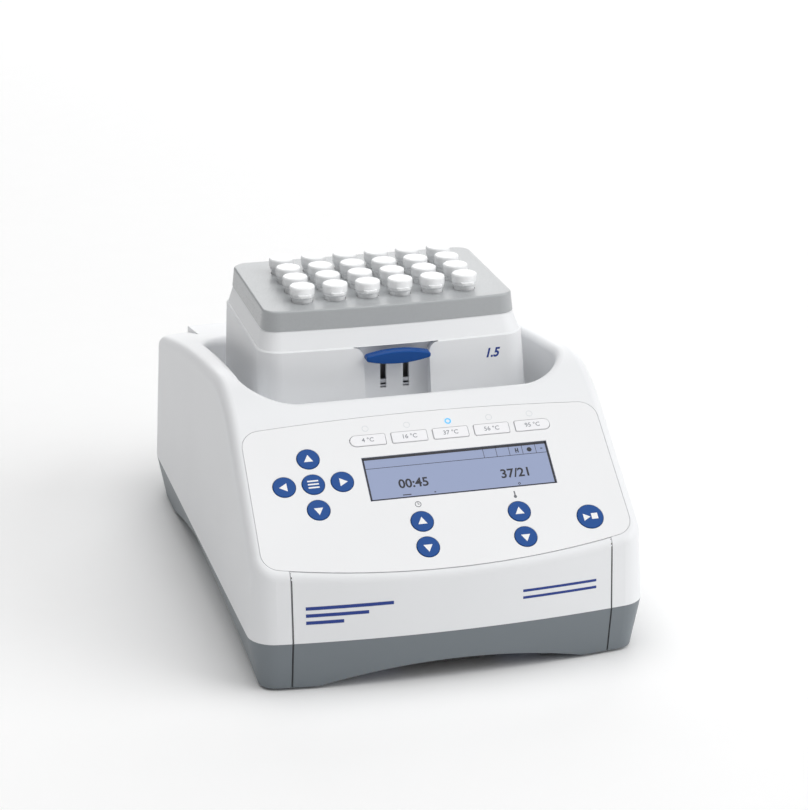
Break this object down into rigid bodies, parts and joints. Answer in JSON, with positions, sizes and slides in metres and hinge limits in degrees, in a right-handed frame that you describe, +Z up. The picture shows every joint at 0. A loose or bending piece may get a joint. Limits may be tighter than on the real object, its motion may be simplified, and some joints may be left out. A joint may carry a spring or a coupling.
{
  "type": "dry block heater",
  "caption": "Bench-top dry block heater with a sloping keypad and display, and a lift-off block of capped micro test tubes in a well.",
  "frame": {"origin": "on the table, under the middle of the casing", "axes": "+X to the right seen from the front, +Y to the rear, +Z up"},
  "size_m": [0.2048, 0.3047, 0.1603],
  "materials": {
    "white_shell": "fine satin moulded white plastic",
    "grey_base": "fine satin moulded grey plastic",
    "grey_cover": "smooth grey plastic",
    "dark_steel": "dark painted sheet steel",
    "foot_rubber": "dark rubber",
    "zinc_steel": "zinc plated steel",
    "overlay_foil": "printed foil, satin",
    "display_glass": "backlit display glass",
    "supply_case": "galvanised sheet case",
    "black_plastic": "black moulded plastic",
    "bare_aluminium": "machined aluminium",
    "ceramic_tile": "white ceramic tile",
    "blue_plastic": "blue moulded plastic",
    "white_key": "white key caps",
    "tube_plastic": "natural white polypropylene"
  },
  "bodies": {
    "casing": {"upper_housing": "white_shell", "front_panel": "white_shell", "base_tray": "grey_base", "front_skirt": "grey_base", "bottom_plate": "dark_steel", "rubber_feet": "foot_rubber", "housing_screws": "zinc_steel", "keypad_overlay": "overlay_foil", "display_board": "display_glass", "power_supply": "supply_case", "mains_inlet": "black_plastic", "heating_plate": "bare_aluminium", "peltier_elements": "ceramic_tile", "heat_sink": "bare_aluminium", "fan_frame": "black_plastic"},
    "fan_rotor": {"fan_rotor": "black_plastic"},
    "power_switch": {"power_switch": "black_plastic"},
    "thermo_block": {"heating_block": "bare_aluminium", "block_housing": "white_shell", "block_cover": "grey_cover"},
    "release_lever": {"release_lever": "blue_plastic"},
    "key_menu": {"key_menu": "blue_plastic"},
    "key_up": {"key_up": "blue_plastic"},
    "key_down": {"key_down": "blue_plastic"},
    "key_left": {"key_left": "blue_plastic"},
    "key_right": {"key_right": "blue_plastic"},
    "key_time_up": {"key_time_up": "blue_plastic"},
    "key_time_down": {"key_time_down": "blue_plastic"},
    "key_temp_up": {"key_temp_up": "blue_plastic"},
    "key_temp_down": {"key_temp_down": "blue_plastic"},
    "key_start_stop": {"key_start_stop": "blue_plastic"},
    "key_preset_1": {"key_preset_1": "white_key"},
    "key_preset_2": {"key_preset_2": "white_key"},
    "key_preset_3": {"key_preset_3": "white_key"},
    "key_preset_4": {"key_preset_4": "white_key"},
    "key_preset_5": {"key_preset_5": "white_key"},
    "tube_a1": {"tube_a1": "tube_plastic"},
    "tube_a2": {"tube_a2": "tube_plastic"},
    "tube_a3": {"tube_a3": "tube_plastic"},
    "tube_a4": {"tube_a4": "tube_plastic"},
    "tube_a5": {"tube_a5": "tube_plastic"},
    "tube_a6": {"tube_a6": "tube_plastic"},
    "tube_b1": {"tube_b1": "tube_plastic"},
    "tube_b2": {"tube_b2": "tube_plastic"},
    "tube_b3": {"tube_b3": "tube_plastic"},
    "tube_b4": {"tube_b4": "tube_plastic"},
    "tube_b5": {"tube_b5": "tube_plastic"},
    "tube_b6": {"tube_b6": "tube_plastic"},
    "tube_c1": {"tube_c1": "tube_plastic"},
    "tube_c2": {"tube_c2": "tube_plastic"},
    "tube_c3": {"tube_c3": "tube_plastic"},
    "tube_c4": {"tube_c4": "tube_plastic"},
    "tube_c5": {"tube_c5": "tube_plastic"},
    "tube_c6": {"tube_c6": "tube_plastic"},
    "tube_d1": {"tube_d1": "tube_plastic"},
    "tube_d2": {"tube_d2": "tube_plastic"},
    "tube_d3": {"tube_d3": "tube_plastic"},
    "tube_d4": {"tube_d4": "tube_plastic"},
    "tube_d5": {"tube_d5": "tube_plastic"},
    "tube_d6": {"tube_d6": "tube_plastic"}
  },
  "joints": [
    {"name": "block_lift", "type": "slide", "parent": "casing", "child": "thermo_block", "axis": [0, 0, 1], "range_m": [0, 0.08]},
    {"name": "lever_press", "type": "slide", "parent": "thermo_block", "child": "release_lever", "axis": [0, 0, -1], "range_m": [0, 0.008], "stiffness_N_per_m": 600},
    {"name": "switch_rock", "type": "hinge", "parent": "casing", "child": "power_switch", "pos_m": [0.035, 0.14596, 0.04573], "axis": [1, 0, 0], "range_deg": [-8, 8]},
    {"name": "fan_spin", "type": "hinge", "parent": "casing", "child": "fan_rotor", "pos_m": [0, 0.016, 0.03], "axis": [0, 0, 1], "continuous": true},
    {"name": "press_menu", "type": "slide", "parent": "casing", "child": "key_menu", "axis": [0, 0.6143, -0.7891], "range_m": [0, 0.0004], "stiffness_N_per_m": 2500},
    {"name": "press_up", "type": "slide", "parent": "casing", "child": "key_up", "axis": [0, 0.6143, -0.7891], "range_m": [0, 0.0004], "stiffness_N_per_m": 2500},
    {"name": "press_down", "type": "slide", "parent": "casing", "child": "key_down", "axis": [0, 0.6143, -0.7891], "range_m": [0, 0.0004], "stiffness_N_per_m": 2500},
    {"name": "press_left", "type": "slide", "parent": "casing", "child": "key_left", "axis": [0, 0.6143, -0.7891], "range_m": [0, 0.0004], "stiffness_N_per_m": 2500},
    {"name": "press_right", "type": "slide", "parent": "casing", "child": "key_right", "axis": [0, 0.6143, -0.7891], "range_m": [0, 0.0004], "stiffness_N_per_m": 2500},
    {"name": "press_time_up", "type": "slide", "parent": "casing", "child": "key_time_up", "axis": [0, 0.6143, -0.7891], "range_m": [0, 0.0004], "stiffness_N_per_m": 2500},
    {"name": "press_time_down", "type": "slide", "parent": "casing", "child": "key_time_down", "axis": [0, 0.6143, -0.7891], "range_m": [0, 0.0004], "stiffness_N_per_m": 2500},
    {"name": "press_temp_up", "type": "slide", "parent": "casing", "child": "key_temp_up", "axis": [0, 0.6143, -0.7891], "range_m": [0, 0.0004], "stiffness_N_per_m": 2500},
    {"name": "press_temp_down", "type": "slide", "parent": "casing", "child": "key_temp_down", "axis": [0, 0.6143, -0.7891], "range_m": [0, 0.0004], "stiffness_N_per_m": 2500},
    {"name": "press_start_stop", "type": "slide", "parent": "casing", "child": "key_start_stop", "axis": [0, 0.6143, -0.7891], "range_m": [0, 0.0004], "stiffness_N_per_m": 2500},
    {"name": "press_preset_1", "type": "slide", "parent": "casing", "child": "key_preset_1", "axis": [0, 0.6143, -0.7891], "range_m": [0, 0.0004], "stiffness_N_per_m": 2500},
    {"name": "press_preset_2", "type": "slide", "parent": "casing", "child": "key_preset_2", "axis": [0, 0.6143, -0.7891], "range_m": [0, 0.0004], "stiffness_N_per_m": 2500},
    {"name": "press_preset_3", "type": "slide", "parent": "casing", "child": "key_preset_3", "axis": [0, 0.6143, -0.7891], "range_m": [0, 0.0004], "stiffness_N_per_m": 2500},
    {"name": "press_preset_4", "type": "slide", "parent": "casing", "child": "key_preset_4", "axis": [0, 0.6143, -0.7891], "range_m": [0, 0.0004], "stiffness_N_per_m": 2500},
    {"name": "press_preset_5", "type": "slide", "parent": "casing", "child": "key_preset_5", "axis": [0, 0.6143, -0.7891], "range_m": [0, 0.0004], "stiffness_N_per_m": 2500},
    {"name": "lift_a1", "type": "slide", "parent": "thermo_block", "child": "tube_a1", "axis": [0, 0, 1], "range_m": [0, 0.045]},
    {"name": "lift_a2", "type": "slide", "parent": "thermo_block", "child": "tube_a2", "axis": [0, 0, 1], "range_m": [0, 0.045]},
    {"name": "lift_a3", "type": "slide", "parent": "thermo_block", "child": "tube_a3", "axis": [0, 0, 1], "range_m": [0, 0.045]},
    {"name": "lift_a4", "type": "slide", "parent": "thermo_block", "child": "tube_a4", "axis": [0, 0, 1], "range_m": [0, 0.045]},
    {"name": "lift_a5", "type": "slide", "parent": "thermo_block", "child": "tube_a5", "axis": [0, 0, 1], "range_m": [0, 0.045]},
    {"name": "lift_a6", "type": "slide", "parent": "thermo_block", "child": "tube_a6", "axis": [0, 0, 1], "range_m": [0, 0.045]},
    {"name": "lift_b1", "type": "slide", "parent": "thermo_block", "child": "tube_b1", "axis": [0, 0, 1], "range_m": [0, 0.045]},
    {"name": "lift_b2", "type": "slide", "parent": "thermo_block", "child": "tube_b2", "axis": [0, 0, 1], "range_m": [0, 0.045]},
    {"name": "lift_b3", "type": "slide", "parent": "thermo_block", "child": "tube_b3", "axis": [0, 0, 1], "range_m": [0, 0.045]},
    {"name": "lift_b4", "type": "slide", "parent": "thermo_block", "child": "tube_b4", "axis": [0, 0, 1], "range_m": [0, 0.045]},
    {"name": "lift_b5", "type": "slide", "parent": "thermo_block", "child": "tube_b5", "axis": [0, 0, 1], "range_m": [0, 0.045]},
    {"name": "lift_b6", "type": "slide", "parent": "thermo_block", "child": "tube_b6", "axis": [0, 0, 1], "range_m": [0, 0.045]},
    {"name": "lift_c1", "type": "slide", "parent": "thermo_block", "child": "tube_c1", "axis": [0, 0, 1], "range_m": [0, 0.045]},
    {"name": "lift_c2", "type": "slide", "parent": "thermo_block", "child": "tube_c2", "axis": [0, 0, 1], "range_m": [0, 0.045]},
    {"name": "lift_c3", "type": "slide", "parent": "thermo_block", "child": "tube_c3", "axis": [0, 0, 1], "range_m": [0, 0.045]},
    {"name": "lift_c4", "type": "slide", "parent": "thermo_block", "child": "tube_c4", "axis": [0, 0, 1], "range_m": [0, 0.045]},
    {"name": "lift_c5", "type": "slide", "parent": "thermo_block", "child": "tube_c5", "axis": [0, 0, 1], "range_m": [0, 0.045]},
    {"name": "lift_c6", "type": "slide", "parent": "thermo_block", "child": "tube_c6", "axis": [0, 0, 1], "range_m": [0, 0.045]},
    {"name": "lift_d1", "type": "slide", "parent": "thermo_block", "child": "tube_d1", "axis": [0, 0, 1], "range_m": [0, 0.045]},
    {"name": "lift_d2", "type": "slide", "parent": "thermo_block", "child": "tube_d2", "axis": [0, 0, 1], "range_m": [0, 0.045]},
    {"name": "lift_d3", "type": "slide", "parent": "thermo_block", "child": "tube_d3", "axis": [0, 0, 1], "range_m": [0, 0.045]},
    {"name": "lift_d4", "type": "slide", "parent": "thermo_block", "child": "tube_d4", "axis": [0, 0, 1], "range_m": [0, 0.045]},
    {"name": "lift_d5", "type": "slide", "parent": "thermo_block", "child": "tube_d5", "axis": [0, 0, 1], "range_m": [0, 0.045]},
    {"name": "lift_d6", "type": "slide", "parent": "thermo_block", "child": "tube_d6", "axis": [0, 0, 1], "range_m": [0, 0.045]}
  ]
}
